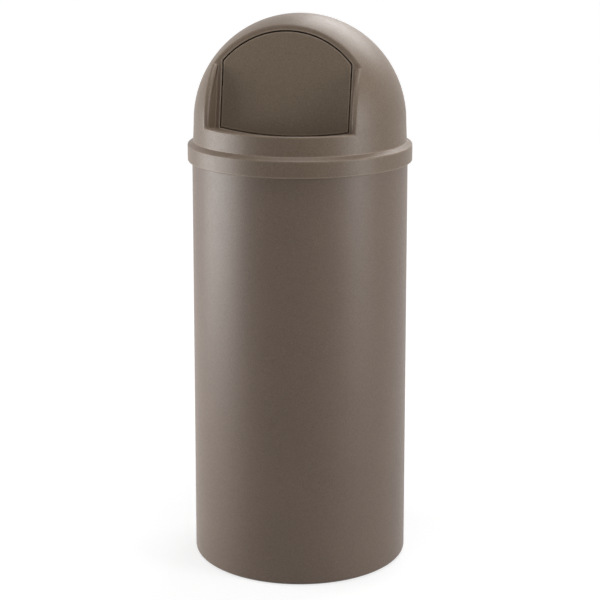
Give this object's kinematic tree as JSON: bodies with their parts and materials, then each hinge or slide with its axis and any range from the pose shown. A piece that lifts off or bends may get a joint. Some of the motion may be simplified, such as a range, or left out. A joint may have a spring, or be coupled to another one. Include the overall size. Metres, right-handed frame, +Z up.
{
  "type": "waste receptacle",
  "caption": "Free-standing round waste receptacle with a lift-off dome hood, a self-closing push door in a front pocket, and a removable liner with drop handles.",
  "frame": {"origin": "middle of the base, at floor level", "axes": "+Z up, -Y the side of the push door, +X to the right of someone who looks at the door"},
  "size_m": [0.379, 0.379, 0.942],
  "materials": {
    "hood_plastic": "satin moulded",
    "door_plastic": "satin moulded",
    "galvanised_sheet": "galvanised",
    "plated_steel": "zinc plated",
    "handle_wire": "plain wire",
    "hinge_steel": "ground",
    "spring_steel": "drawn wire",
    "bushing_nylon": "moulded",
    "bumper_rubber": "matt"
  },
  "bodies": {
    "container": {"container_body": "hood_plastic"},
    "inner_liner": {"liner": "galvanised_sheet", "handle_ears": "plated_steel", "ear_rivets": "plated_steel"},
    "left_handle": {"handle_left": "handle_wire"},
    "right_handle": {"handle_right": "handle_wire"},
    "hood_unit": {"hood": "hood_plastic", "bracket_left": "plated_steel", "bracket_right": "plated_steel", "bracket_screws": "plated_steel", "hinge_rod": "hinge_steel", "rod_nuts": "plated_steel", "spring_left": "spring_steel", "spring_right": "spring_steel"},
    "door": {"push_door": "door_plastic", "door_bushings": "bushing_nylon", "door_bumpers": "bumper_rubber"}
  },
  "joints": [
    {"name": "liner_lift", "type": "slide", "parent": "container", "child": "inner_liner", "axis": [0, 0, 1], "range_m": [0, 0.73]},
    {"name": "left_handle_swing", "type": "hinge", "parent": "inner_liner", "child": "left_handle", "pos_m": [-0.1463, 0, 0.665], "axis": [0, -1, 0], "range_deg": [-6, 190]},
    {"name": "right_handle_swing", "type": "hinge", "parent": "inner_liner", "child": "right_handle", "pos_m": [0.1463, 0, 0.665], "axis": [0, 1, 0], "range_deg": [-6, 190]},
    {"name": "hood_lift", "type": "slide", "parent": "inner_liner", "child": "hood_unit", "axis": [0, 0, 1], "range_m": [0, 0.15]},
    {"name": "door_swing", "type": "hinge", "parent": "hood_unit", "child": "door", "pos_m": [0, -0.06347, 0.85465], "axis": [1, 0, 0], "range_deg": [0, 68], "stiffness_Nm_per_rad": 0.12, "springref_deg": -68.75}
  ]
}
